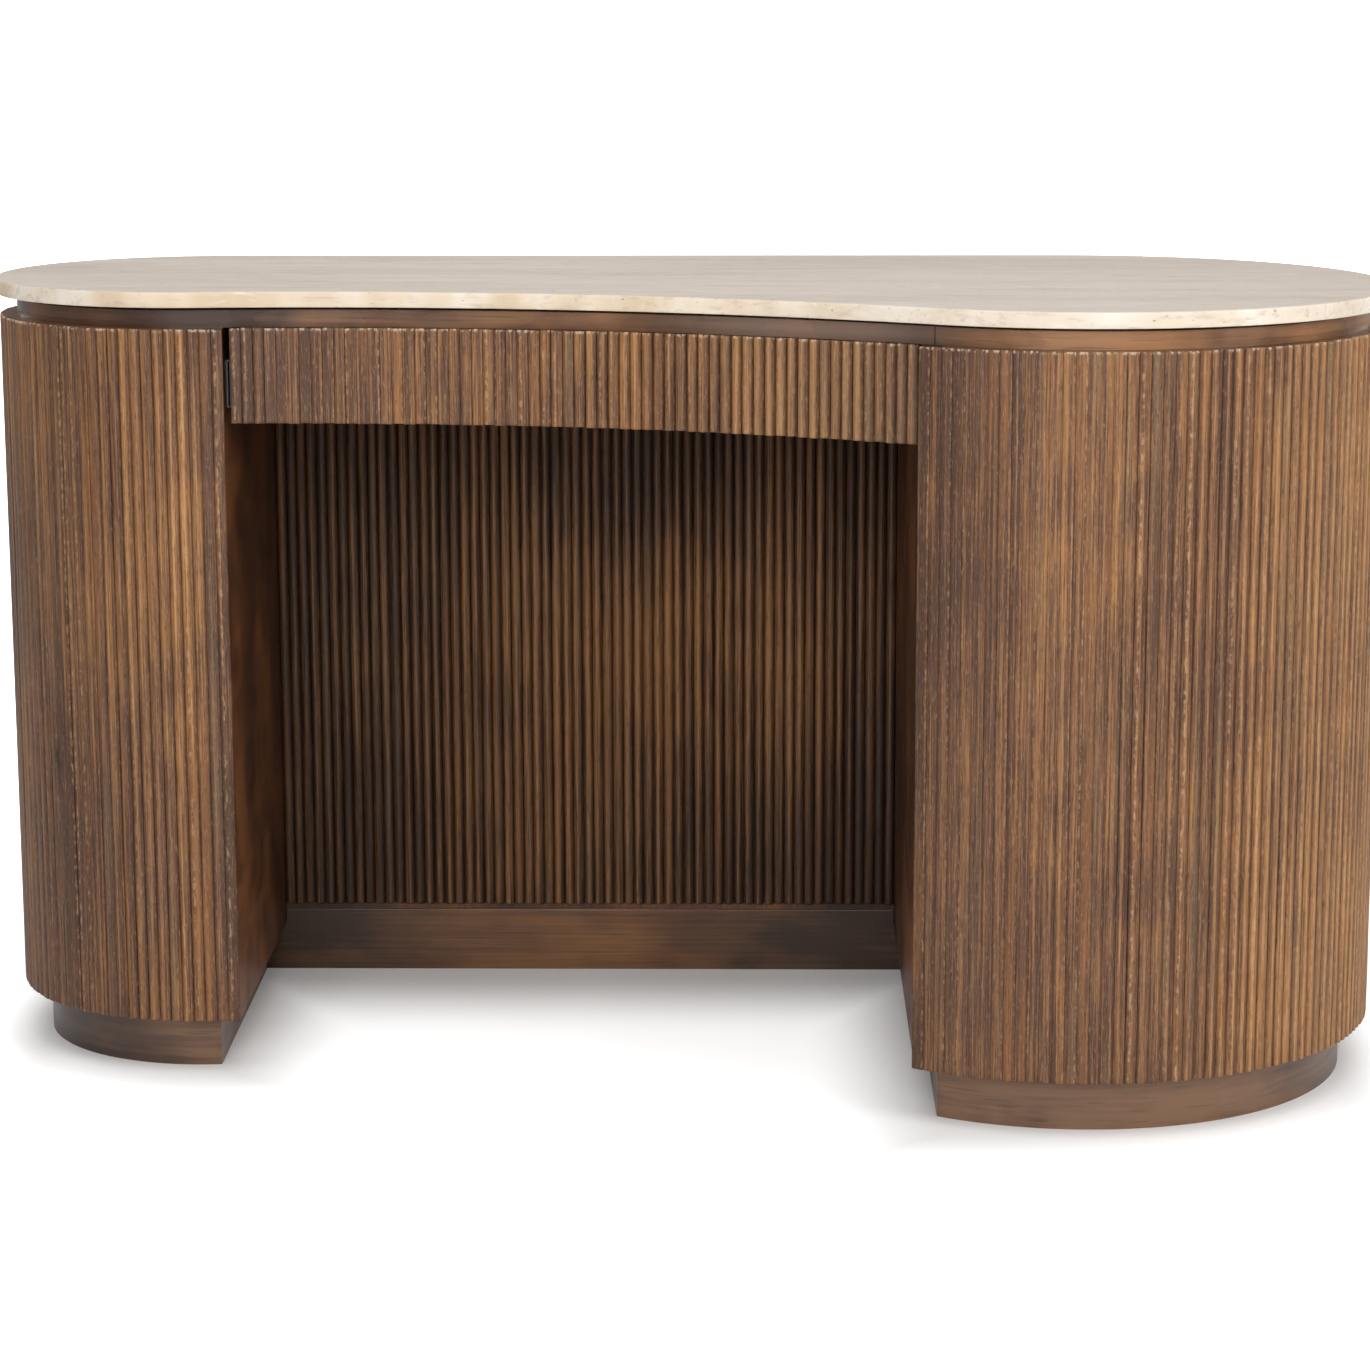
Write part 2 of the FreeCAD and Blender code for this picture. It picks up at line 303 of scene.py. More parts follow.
def slat_wood(name, palette, warm_stain, cool_stain, blotch_share,
              groove_shade_and_line_colour, fleck_colour, fleck_share):
    """Hand-stained slats: sprayed blotches, streaks, fibres, brown grooves of painted shade, a painted crown
    highlight, and rubbed crowns and tops.
    """
    wood = Shader(name)
    sheet = wood.attribute("sheet", "Vector")
    cross = wood.attribute("cross")
    painted_relief = wood.attribute("painted_relief")

    streak = wood.clouds(sheet, (360.0, 2.4, 0.8), 3.0, 0.65)
    fibre = wood.clouds(sheet, (850.0, 16.0, 2.0), 4.0, 0.72)
    lines = wood.clouds(sheet, (560.0, 4.0, 1.0), 2.0, 0.5, shift=(3.0, 7.0, 2.0))
    pores = wood.clouds(sheet, (900.0, 80.0, 7.0), 2.0, 0.5)
    flecks = wood.clouds(sheet, (1000.0, 110.0, 3.0), 2.0, 0.6, shift=(1.0, 4.0, 6.0))
    haze = wood.clouds(sheet, (40.0, 3.0, 0.0), 3.0, 0.55, 0.4, shift=(4.0, 9.0, 0.0))
    rub = wood.clouds(sheet, (140.0, 75.0, 1.0), 4.0, 0.65, shift=(8.0, 1.0, 0.0))
    specks = wood.clouds(sheet, (300.0, 150.0, 2.0), 2.0, 0.5, shift=(5.0, 2.0, 1.0))
    hues = wood.clouds(sheet, (60.0, 2.2, 0.5), 3.0, 0.6, shift=(2.0, 3.0, 8.0))
    knots = wood.cells(sheet, (9.0, 1.6, 0.0), (0.3, 0.65, 0.0))

    # Tone of the stain, with a painted highlight along the crown, set off to one side of its middle
    depth = wood.add(wood.attribute("tone"), wood.swing(wood.blotches(), 0.30, 0.70, blotch_share))
    depth = wood.add(depth, wood.swing(streak, 0.30, 0.70, 0.30))
    depth = wood.add(depth, wood.swing(fibre, 0.32, 0.68, 0.28))
    from_crown = wood.apart(cross, painted_light_offset)
    depth = wood.add(depth, wood.times(painted_relief, wood.ramp(from_crown, 0.05, 0.55, painted_crown_highlight, 0.0)))
    colour = wood.colours(depth, palette)

    # Warm and cool streaks, smoke, dark lines, pores and knots
    colour = wood.mix(wood.ramp(hues, 0.52, 0.70, 0.0, 0.48), colour, warm_stain)
    colour = wood.mix(wood.ramp(hues, 0.30, 0.46, 0.42, 0.0), colour, cool_stain)
    smoky = wood.add(wood.attribute("smoky"), wood.ramp(haze, 0.52, 0.76, 0.0, 0.30))
    colour = wood.mix(smoky, colour, smoke)
    colour = wood.mix(wood.ramp(lines, 0.58, 0.74, 0.0, 0.34), colour, groove_shade_and_line_colour)
    colour = wood.mix(wood.ramp(pores, 0.56, 0.72, 0.0, 0.48), colour, soot)
    colour = wood.mix(wood.ramp(knots, 0.015, 0.06, 0.75, 0.0), colour, soot)

    # Painted shade in the grooves, deeper on the side away from the painted highlight, pale flecks, rubbed
    # lines that on round crowns are also a painted highlight, and rubbed tops
    groove_shade = wood.times(wood.ramp(from_crown, 0.40, 1.0), wood.ramp(rub, 0.30, 0.65, 0.7, 1.0))
    colour = wood.mix(wood.times(groove_shade, painted_relief), colour, groove_shade_and_line_colour)
    colour = wood.mix(wood.ramp(flecks, 0.56, 0.70, 0.0, fleck_share), colour, fleck_colour)
    rubbed_and_lit = wood.times(wood.attribute("rub_and_highlight"), wood.ramp(specks, 0.48, 0.64))
    colour = wood.mix(rubbed_and_lit, colour, fleck_colour)
    rubbed = wood.times(wood.attribute("top_end"), wood.ramp(specks, 0.48, 0.60, 0.0, 0.80))
    colour = wood.mix(rubbed, colour, bare_fibre)

    relief = wood.calc("SUBTRACT", fibre, wood.ramp(pores, 0.56, 0.72))
    return wood.finish_with(
        Base_Color=colour,
        Roughness=wood.ramp(fibre, 0.2, 0.8, 0.40, 0.58),
        Specular_IOR_Level=0.34,
        Normal=wood.bump(relief, 0.35, 0.3 * mm),
    )


def smooth_wood(name, grain_scale, palette, blotch_share, roughness, coat,
                shades=(), painted_sheen_x=None, seam_x=None):
    """Planed and waxed boards: fine grain along one axis, sprayed blotches and, if told, a butt joint.

    A shade is the two x between which the tone changes, and the tone added before and after them; on the
    frieze and the plinths these changes are partly tone and partly painted shade and painted reflections.
    A painted grey sheen, standing in for a reflection, lies round the x given for it.
    """
    wood = Shader(name)
    place = wood.place()
    along = wood.part(place, "X")
    grain = wood.clouds(place, grain_scale, 4.0, 0.6, 0.3)
    flecks = wood.clouds(place, [3.2 * scale for scale in grain_scale], 1.0, 0.4)
    mottle = wood.clouds(place, (13.0, 13.0, 30.0), 2.0, 0.45, shift=(3.0, 1.0, 2.0))
    depth = wood.ramp(wood.blotches(), 0.30, 0.70, 0.5 - blotch_share, 0.5 + blotch_share)
    depth = wood.add(depth, wood.swing(mottle, 0.30, 0.70, 0.10))
    depth = wood.add(depth, wood.swing(grain, 0.30, 0.70, 0.10))
    for left_x, right_x, before, after in shades:
        depth = wood.add(depth, wood.ramp(along, left_x, right_x, before, after))
    colour = wood.colours(depth, palette)
    colour = wood.mix(wood.ramp(flecks, 0.62, 0.74, 0.0, 0.35), colour, soot)
    # Painted reflection: a grey sheen round the given x
    if painted_sheen_x is not None:
        from_painted_sheen = wood.apart(along, painted_sheen_x)
        colour = wood.mix(wood.ramp(from_painted_sheen, 0.04, 0.16, 0.62, 0.0), colour, painted_sheen_grey)
    if seam_x is not None:
        from_seam = wood.apart(along, seam_x)
        colour = wood.mix(wood.ramp(from_seam, 0.3 * mm, 0.9 * mm, 0.8, 0.0), colour, soot)
    return wood.finish_with(
        Base_Color=colour,
        Roughness=wood.ramp(mottle, 0.3, 0.7, roughness - 0.06, roughness + 0.08),
        Specular_IOR_Level=0.4,
        Coat_Weight=coat,
        Coat_Roughness=0.25,
        Normal=wood.bump(grain, 0.12, 0.2 * mm),
    )


def travertine():
    """Honed vein-cut stone: cloudy beds, fine broken lines, filled pits and a sawn, warmer edge; the top is
    darker than the edge, partly its finish and partly painted shade.
    """
    stone = Shader("travertine")
    place = stone.place()
    along = stone.part(place, "X")
    bend = stone.clouds(place, (2.2, 5.0, 3.0), 2.0, 0.5)
    beds = stone.clouds(place, (2.0, 20.0, 34.0), 4.0, 0.55, 0.8)
    patches = stone.clouds(place, (17.0, 17.0, 9.0), 2.0, 0.5, shift=(5.0, 2.0, 1.0))
    veins = stone.clouds(place, (7.0, 80.0, 90.0), 3.0, 0.6, 0.5, shift=(7.0, 3.0, 5.0))
    lines = stone.clouds(place, (26.0, 240.0, 160.0), 3.0, 0.6, shift=(2.0, 6.0, 3.0))
    pits = stone.clouds(place, (95.0, 260.0, 260.0), 2.0, 0.5)
    speckle = stone.clouds(place, (900.0, 900.0, 900.0), 2.0, 0.6)

    # The honed top, duller towards the right and darker than the edge partly as painted shade, and the sawn
    # edge, paler towards the right
    depth = stone.add(stone.times(beds, 0.62), stone.times(bend, 0.38))
    honed_shaded_top = stone.colours(depth, [
        (0.28, linear(193, 181, 169)), (0.46, linear(204, 193, 182)),
        (0.60, linear(211, 201, 191)), (0.78, linear(218, 210, 202)),
    ])
    honed_shaded_top = stone.mix(stone.ramp(along, 0.0, 0.5, 0.0, 0.45), honed_shaded_top, linear(198, 188, 176))
    sawn = stone.colours(patches, [
        (0.34, linear(214, 193, 164)), (0.48, linear(226, 208, 184)), (0.64, linear(236, 225, 210)),
    ])
    sawn = stone.mix(stone.ramp(along, -0.1, 0.3, 0.0, 0.5), sawn, linear(234, 225, 212))
    colour = stone.mix(stone.ramp(stone.facing_up(), 0.4, 0.9), sawn, honed_shaded_top)

    # Veins, dark and pale lines, speckle and pits
    colour = stone.mix(stone.ramp(veins, 0.52, 0.70, 0.0, 0.34), colour, linear(184, 160, 138))
    colour = stone.mix(stone.ramp(lines, 0.56, 0.70, 0.0, 0.34), colour, linear(176, 156, 140))
    colour = stone.mix(stone.ramp(lines, 0.30, 0.42, 0.40, 0.0), colour, linear(236, 228, 218))
    colour = stone.mix(stone.ramp(speckle, 0.60, 0.80, 0.0, 0.22), colour, linear(205, 188, 166))
    colour = stone.mix(stone.ramp(pits, 0.70, 0.76, 0.0, 0.65), colour, linear(150, 122, 94))
    relief = stone.calc("SUBTRACT", stone.times(speckle, 0.25), stone.ramp(pits, 0.68, 0.76))
    return stone.finish_with(
        Base_Color=colour,
        Roughness=stone.ramp(beds, 0.3, 0.7, 0.54, 0.68),
        Specular_IOR_Level=0.2,
        Normal=stone.bump(relief, 0.4, 0.3 * mm),
    )


def zinc():
    """Zinc-plated runner steel with a drawn finish along its length."""
    metal = Shader("zinc")
    place = metal.place()
    drawn = metal.clouds(place, (900.0, 16.0, 900.0), 3.0, 0.6)
    bloom = metal.clouds(place, (60.0, 45.0, 60.0), 3.0, 0.6)
    return metal.finish_with(
        Base_Color=metal.colours(bloom, [(0.3, linear(104, 105, 106)), (0.7, linear(134, 135, 135))]),
        Metallic=1.0,
        Roughness=metal.ramp(drawn, 0.2, 0.8, 0.26, 0.46),
        Normal=metal.bump(drawn, 0.25, 0.1 * mm),
    )


def studio_white():
    """Pale studio floor that glows for the camera alone, and glows less near the desk as a painted shadow
    round the plinths and the rail.
    """
    paper = Shader("studio_white")
    place = paper.place()
    seen = paper.tree.nodes.new("ShaderNodeLightPath").outputs["Is Camera Ray"]
    from_left = paper.from_lobe("left_plinth_band", 1)
    from_right = paper.from_lobe("right_plinth_band", -1)
    away = paper.calc("MINIMUM", from_left, from_right)
    from_rail = paper.apart(paper.part(place, "Y"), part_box("kneehole_rail")[0].y)
    from_middle = paper.apart(paper.part(place, "X"), 0.0)
    # Painted shadow: less glow close to the plinths and the rail
    glow = paper.calc("MINIMUM", paper.ramp(away, *plinth_shade), paper.ramp(from_rail, *rail_shade))
    glow = paper.add(glow, paper.ramp(away, *open_floor_glow))
    glow = paper.add(glow, paper.ramp(from_middle, *outer_floor_glow))
    return paper.finish_with(
        Base_Color=(0.86, 0.86, 0.86, 1.0),
        Roughness=0.9,
        Specular_IOR_Level=0.1,
        Emission_Color=(1.0, 1.0, 1.0, 1.0),
        Emission_Strength=paper.times(seen, glow),
    )


def add_piece(name, mesh, material, body, node):
    """Show a mesh in place of a CAD node, on the body that it moves with."""
    piece = bpy.data.objects.new(name, mesh)
    bpy.context.scene.collection.objects.link(piece)
    mesh.materials.append(materials[material])
    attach(piece, body)
    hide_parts(node)


def welded(node):
    """A copy of a CAD node's mesh with its doubled corners joined."""
    shape = bmesh.new()
    shape.from_mesh(nodes[node].data)
    bmesh.ops.remove_doubles(shape, verts=shape.verts, dist=weld_distance)
    return shape


def solids_of(node):
    """Corner points of each separate solid in a CAD node."""
    shape = welded(node)
    shape.verts.ensure_lookup_table()
    reached = set()
    solids = []
    for first in shape.verts:
        if first.index in reached:
            continue
        reached.add(first.index)
        waiting = [first]
        corners = []
        while waiting:
            corner = waiting.pop()
            corners.append(corner.co.copy())
            for edge in corner.link_edges:
                other = edge.other_vert(corner)
                if other.index not in reached:
                    reached.add(other.index)
                    waiting.append(other)
        solids.append(corners)
    shape.free()
    return solids


def read_slat(corners):
    """Where a CAD slat stands: the middle of its flat back, its directions, its width, depth and ends."""
    z_low = min(corner.z for corner in corners)
    z_high = max(corner.z for corner in corners)
    plan = [corner.xy for corner in corners if corner.z < (z_low + z_high) / 2]
    middle = sum(plan, Vector((0, 0))) / len(plan)
    ring = sorted(plan, key=lambda point: math.atan2(point.y - middle.y, point.x - middle.x))
    sides = [(ring[index - 1], ring[index]) for index in range(len(ring))]
    first, last = max(sides, key=lambda side: (side[1] - side[0]).length)
    base = (first + last) / 2
    across = (last - first).normalized()
    outward = Vector((across.y, -across.x))
    if (middle - base).dot(outward) < 0:
        outward = -outward
    return {
        "base": base,
        "outward": outward,
        "across": Vector((outward.y, -outward.x)),
        "width": (last - first).length,
        "depth": max((point - base).dot(outward) for point in plan),
        "z_low": z_low,
        "z_high": z_high,
    }


def along_run(slats, facing):
    """Slats sorted along their run: round a lobe that faces -X or +X, or left to right where facing is 0."""
    middle = sum((slat["base"] for slat in slats), Vector((0, 0))) / len(slats)

    def order(slat):
        offset = slat["base"] - middle
        return math.atan2(offset.y, facing * offset.x) if facing else offset.x

    slats = sorted(slats, key=order)
    distance = 0.0
    for before, slat in zip(slats[:1] + slats, slats):
        distance += (slat["base"] - before["base"]).length
        slat["run"] = distance
    return slats


def slat_profile(width, depth, drop, power):
    """Section of a slat as (across, out) points, from back corner to back corner over its crown."""
    shoulder = depth - drop
    points = [(-width / 2, 0.0)]
    for step in range(crown_steps + 1):
        across = math.sin((2 * step / crown_steps - 1) * math.pi / 2)
        rise = (1 - abs(across) ** power) ** (1 / power)
        points.append((width / 2 * across, shoulder + (depth - shoulder) * rise))
    points.append((width / 2, 0.0))
    return points


def slat_heights(z_low, z_high):
    """Levels of a slat's rings, crowded at each end for its eased and rubbed edge."""
    low_end = [z_low, z_low + slat_end_ease, z_low + slat_end_wear]
    high_end = [z_high - slat_end_wear, z_high - slat_end_ease, z_high]
    span = high_end[0] - low_end[-1]
    inner = [low_end[-1] + span * index / slat_ring_count for index in range(1, slat_ring_count)]
    return low_end + inner + high_end


def between(stops, x):
    """The values at x, read between the nearest two stops."""
    for (low_x, *low), (high_x, *high) in zip(stops, stops[1:]):
        if x <= high_x:
            share = max(0.0, (x - low_x) / (high_x - low_x))
            return [first + (last - first) * share for first, last in zip(low, high)]
    return stops[-1][1:]


def patch_tone(patches, x, z):
    """Tone that soft patches add at one place, sprayed stain and painted shade; a patch is its x, z, radius
    and added tone.
    """
    added = 0.0
    for patch_x, patch_z, radius, change in patches:
        near = max(0.0, 1 - math.hypot(x - patch_x, z - patch_z) / radius)
        added += change * near * near * (3 - 2 * near)
    return added


def tambour(name, node, body, material, facing, stops, rub_and_highlight_share, run_start, patches=(), reeded=False):
    """All slats of one CAD node as one mesh of crowned, slightly uneven slats.

    facing is the side that a lobe bulges to, -1 for -X and 1 for +X, or 0 for any other run. The share
    argument is the share of slats with a pale line, rubbed, and on round crowns also a painted highlight.
    run_start gives each tambour a stretch of grain of its own.
    """
    chance = random.Random(name)
    points = []
    faces = []
    flat_faces = set()
    sheet = []
    shares = {label: [] for label in ("tone", "smoky", "cross", "painted_relief", "rub_and_highlight", "top_end")}
    for slat in along_run([read_slat(corners) for corners in solids_of(node)], facing):
        # The slat's own size and look, which fades into the rear look as it turns to the back
        seed = chance.random()
        width = slat["width"] * (chance.uniform(*width_shares) + (lobe_spread if facing else 0.0))
        depth = slat["depth"] * chance.uniform(*depth_shares)
        lean = chance.uniform(-most_lean, most_lean)
        rear_share = min(1.0, max(0.0, 2 * slat["outward"].y))
        looks = zip(between(stops, slat["base"].x), rear_look)
        look = [near + (rear - near) * rear_share for near, rear in looks]
        top_tone, foot_tone, smokiness, roundness = look
        roundness = max(0.0, roundness + chance.uniform(-roundness_spread, roundness_spread))
        drop = min(flat_drop + (round_drop - flat_drop) * roundness, reed_drop)
        # Strength of the painted shade in the grooves and of the painted highlight on the crown
        groove_shade = flat_painted_relief + (round_painted_relief - flat_painted_relief) * roundness
        if reeded:
            drop = reed_drop
            groove_shade = reed_painted_relief
        power = max(least_power, flat_power + (round_power - flat_power) * roundness)
        profile = slat_profile(width, depth, drop, power)
        z_low = slat["z_low"] + chance.uniform(0.0, foot_play)
        z_high = slat["z_high"] - chance.uniform(0.0, top_play)
        group = noise.noise(Vector((run_start + slat["run"] * groups_per_metre, 2, 7)))
        unevenness = group_tone * group + chance.gauss(0, tone_spread)
        smokiness = max(0.0, smokiness + chance.gauss(0, smoke_spread))

        # A pale line: a rubbed line and a painted highlight on the crown of a round slat, a rubbed line on
        # one side of a flat one
        rub_and_highlight_strength = chance.uniform(*rub_and_highlight_strengths) if chance.random() < rub_and_highlight_share else 0.0
        if roundness > 0.5:
            rub_and_highlight_place = crown_rub_and_highlight_place
            rub_and_highlight_reach = crown_rub_and_highlight_reach
        else:
            rub_and_highlight_place = math.copysign(side_wear_place, chance.uniform(-1, 1))
            rub_and_highlight_reach = side_wear_reach

        # Rings of points up the slat
        heights = slat_heights(z_low, z_high)
        first_point = len(points)
        for height in heights:
            share = (height - z_low) / (z_high - z_low)
            # Tone up the slat: a lower foot tone is painted shade towards the floor, and soft patches are
            # added, some of them painted shade
            tone = foot_tone + (top_tone - foot_tone) * share + unevenness
            tone += patch_tone(patches, slat["base"].x, height) * (1 - rear_share)
            rub = max(0.0, 1 - (z_high - height) / slat_end_wear)
            sway = sway_reach * noise.noise(Vector((seed * 91, height * 7, 3)))
            width_share = 1.0
            depth_share = 1 - swell_share * abs(noise.noise(Vector((seed * 57, height * 11, 8))))
            if height in (heights[0], heights[-1]):
                width_share = end_width_share
                depth_share = end_depth_share
            for across, out in profile:
                cross = 2 * across / width
                rise = out * depth_share
                if out > 0:
                    tilt = lean * (across - width / 2 * math.copysign(1, lean))
                    rise = min(rise + tilt, slat["depth"])
                sideways = slat["across"] * (across * width_share + sway)
                place = slat["base"] + sideways + slat["outward"] * rise
                points.append((place.x, place.y, height))
                sheet.append((run_start + slat["run"] + across, height, seed * 10))
                shares["tone"].append(tone)
                shares["smoky"].append(smokiness)
                shares["cross"].append(cross)
                shares["painted_relief"].append(groove_shade)
                shares["rub_and_highlight"].append(rub_and_highlight_strength * max(0.0, 1 - abs(cross - rub_and_highlight_place) / rub_and_highlight_reach))
                shares["top_end"].append(rub * (out / depth) ** 2)

        # Faces between the rings and over both ends
        count = len(profile)
        for ring in range(len(heights) - 1):
            for index in range(count):
                near = first_point + ring * count + index
                beside = first_point + ring * count + (index + 1) % count
                faces.append((near, near + count, beside + count, beside))
        last_ring = first_point + (len(heights) - 1) * count
        flat_faces.update((len(faces), len(faces) + 1))
        faces.append(tuple(first_point + index for index in range(count)))
        faces.append(tuple(last_ring + index for index in reversed(range(count))))

    mesh = bpy.data.meshes.new(name)
    mesh.from_pydata(points, [], faces)
    mesh.polygons.foreach_set("use_smooth", [index not in flat_faces for index in range(len(faces))])
    coordinates = [value for point in sheet for value in point]
    mesh.attributes.new("sheet", "FLOAT_VECTOR", "POINT").data.foreach_set("vector", coordinates)
    for label, values in shares.items():
        mesh.attributes.new(label, "FLOAT", "POINT").data.foreach_set("value", values)
    mesh.update()
    add_piece(name, mesh, material, body, node)


def rim_loop(node):
    """The lower rim of a CAD slab as an ordered, evenly spaced and smoothed loop of plan points."""
    shape = welded(node)
    level = min(vert.co.z for vert in shape.verts) + weld_distance
    on_rim = [vert for vert in shape.verts if vert.co.z < level]
    middle_x = sum(vert.co.x for vert in on_rim) / len(on_rim)
    neighbours = {}
    for vert in on_rim:
        sides = [edge for edge in vert.link_edges if any(face.normal.z > -0.5 for face in edge.link_faces)]
        ends = [edge.other_vert(vert) for edge in sides]
        neighbours[vert] = [end for end in ends if end.co.z < level]
    start = max(on_rim, key=lambda vert: (vert.co.y, -abs(vert.co.x - middle_x)))
    loop = [start]
    following = max(neighbours[start], key=lambda vert: vert.co.x)
    while following is not start:
        loop.append(following)
        following = next(vert for vert in neighbours[following] if vert is not loop[-2])
    corners = [vert.co.xy.copy() for vert in loop]
    shape.free()
    return smoothed(resampled(corners, slab_outline_step))


def resampled(corners, step):
    """A closed loop of points at even steps along a polygon."""
    points = []
    carry = 0.0
    for first, last in zip(corners, corners[1:] + corners[:1]):
        length = (last - first).length
        while carry < length:
            points.append(first.lerp(last, carry / length))
            carry += step
        carry -= length
    return points


def smoothed(points):
    """The same loop with its facets eased away."""
    for _ in range(slab_smoothing_rounds):
        before = points[-1:] + points[:-1]
        after = points[1:] + points[:1]
        points = [(first + 2 * middle + last) / 4 for first, middle, last in zip(before, points, after)]
    return points


def stone_slab():
    """The slab with eased, hand-finished edges that waver a little and are chipped here and there."""
    loop = rim_loop("stone_top")
    low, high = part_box("stone_top")
    round_off = slab_edge_round
    lower_edge = [(0.9 * mm, low.z), (0.2 * mm, low.z + 0.35 * mm)]
    band = [
        (0.0, low.z + 1.1 * mm), (0.0, low.z + slab_edge_band),
        (0.0, high.z - slab_edge_band), (0.0, high.z - round_off),
    ]
    upper_edge = [(0.3 * round_off, high.z - 0.35 * round_off), (round_off, high.z)]
    profile = lower_edge + band + upper_edge
    points = []
    count = len(loop)
    for level, (inset, height) in enumerate(profile):
        chip_reach = 0.0 if (inset, height) in band else slab_chip
        for index, point in enumerate(loop):
            tangent = (loop[(index + 1) % count] - loop[index - 1]).normalized()
            inward = Vector((tangent.y, -tangent.x))
            wave_place = Vector((point.x * wavers_per_metre, point.y * wavers_per_metre, level * 0.4))
            waver = slab_waver * (1 + noise.noise(wave_place))
            chip_place = Vector((point.x * chips_per_metre, point.y * chips_per_metre, 9))
            chip = max(0.0, noise.noise(chip_place) - chip_threshold) * chip_reach
            place = point + inward * (inset + waver + chip)
            points.append((place.x, place.y, height))
    faces = []
    for level in range(len(profile) - 1):
        for index in range(count):
            beside = (index + 1) % count
            base = level * count
            faces.append((base + index, base + beside, base + count + beside, base + count + index))
    faces.append(tuple(reversed(range(count))))
    faces.append(tuple((len(profile) - 1) * count + index for index in range(count)))
    mesh = bpy.data.meshes.new("stone_slab")
    mesh.from_pydata(points, [], faces)
    mesh.polygons.foreach_set("use_smooth", [index < len(faces) - 2 for index in range(len(faces))])
    shape = bmesh.new()
    shape.from_mesh(mesh)
    bmesh.ops.recalc_face_normals(shape, faces=shape.faces)
    shape.to_mesh(mesh)
    shape.free()
    add_piece("stone_slab", mesh, "travertine", "desk", "stone_top")


def rail_board():
    """The kneehole rail with eased edges. Its foot runs on behind the plinths and shuts out the light."""
    low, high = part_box("kneehole_rail")
    panel_low, panel_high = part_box("back_panel")
    foot_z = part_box("left_plinth_side")[1].z
    foot_left_x = low.x - rail_tongue
    foot_right_x = high.x + rail_tongue
    outline = [
        (foot_left_x, low.z), (foot_right_x, low.z), (foot_right_x, foot_z), (panel_high.x, foot_z),
        (panel_high.x, high.z), (panel_low.x, high.z), (panel_low.x, foot_z), (foot_left_x, foot_z),
    ]
    shape = bmesh.new()
    front = [shape.verts.new((x, low.y, z)) for x, z in outline]
    back = [shape.verts.new((x, high.y, z)) for x, z in outline]
    shape.faces.new(front)
    shape.faces.new(back[::-1])
    for index in range(len(outline)):
        shape.faces.new((front[index - 1], back[index - 1], back[index], front[index]))
    bmesh.ops.recalc_face_normals(shape, faces=shape.faces)
    bmesh.ops.bevel(
        shape, geom=shape.edges[:], offset=rail_edge_round, segments=2, profile=0.5, affect="EDGES",
    )
    mesh = bpy.data.meshes.new("rail_board")
    shape.to_mesh(mesh)
    shape.free()
    add_piece("rail_board", mesh, "rail_wood", "desk", "kneehole_rail")


def finish_node(name, material):
    """Give a CAD node its finish."""
    mesh = nodes[name].data
    mesh.materials.clear()
    mesh.materials.append(material)


def studio_floor():
    """Seamless floor that sweeps up into a backdrop."""
    half_width = 9.0
    front_y = -9.0
    bend_y = 4.0
    bend_radius = 2.0
    bend_steps = 16
    wall_height = 5.0
    profile = [(front_y, 0.0), (0.0, 0.0), (bend_y, 0.0)]
    for step in range(1, bend_steps + 1):
        angle = step / bend_steps * math.pi / 2
        profile.append((bend_y + bend_radius * math.sin(angle), bend_radius * (1 - math.cos(angle))))
    profile.append((bend_y + bend_radius, wall_height))
    points = []
    for y, z in profile:
        points.append((-half_width, y, z))
        points.append((half_width, y, z))
    faces = [(2 * index, 2 * index + 1, 2 * index + 3, 2 * index + 2) for index in range(len(profile) - 1)]
    mesh = bpy.data.meshes.new("studio_floor")
    mesh.from_pydata(points, [], faces)
    mesh.polygons.foreach_set("use_smooth", [True] * len(faces))
    mesh.materials.append(studio_white())
    floor = bpy.data.objects.new("studio_floor", mesh)
    bpy.context.scene.collection.objects.link(floor)


def soft_light(name, place, target, width, height, watts):
    """A large softbox aimed at a point."""
    lamp = bpy.data.lights.new(name, "AREA")
    lamp.shape = "RECTANGLE"
    lamp.size = width
    lamp.size_y = height
    lamp.energy = watts
    light = bpy.data.objects.new(name, lamp)
    light.location = place
    light.rotation_euler = (Vector(target) - Vector(place)).to_track_quat("-Z", "Y").to_euler()
    bpy.context.scene.collection.objects.link(light)


def studio_air():
    """Dim white air that shows as a white backdrop."""
    world = bpy.data.worlds.new("studio_air")
    world.use_nodes = True
    tree = world.node_tree
    backdrop = tree.nodes["Background"].inputs
    backdrop["Color"].default_value = (1.0, 1.0, 1.0, 1.0)
    strength = tree.nodes.new("ShaderNodeMapRange")
    strength.inputs["To Min"].default_value = air_fill
    strength.inputs["To Max"].default_value = 1.0
    seen = tree.nodes.new("ShaderNodeLightPath").outputs["Is Camera Ray"]
    tree.links.new(seen, strength.inputs["Value"])
    tree.links.new(strength.outputs[0], backdrop["Strength"])
    bpy.context.scene.world = world


def photo_camera():
    """The camera of the photo, from its fitted place, turn and focal length."""
    data = bpy.data.cameras.new("photo_camera")
    data.sensor_width = sensor_width_mm
    data.lens = sensor_width_mm * focal_pixels / photo_pixels
    data.dof.use_dof = False
    camera = bpy.data.objects.new("photo_camera", data)
    turn = Matrix.Rotation(math.radians(camera_turn_degrees), 4, "Z")
    tilt = Matrix.Rotation(math.radians(90 - camera_pitch_degrees), 4, "X")
    roll = Matrix.Rotation(math.radians(camera_roll_degrees), 4, "Z")
    camera.matrix_world = Matrix.Translation(camera_place) @ turn @ tilt @ roll
    bpy.context.scene.collection.objects.link(camera)
    bpy.context.scene.camera = camera


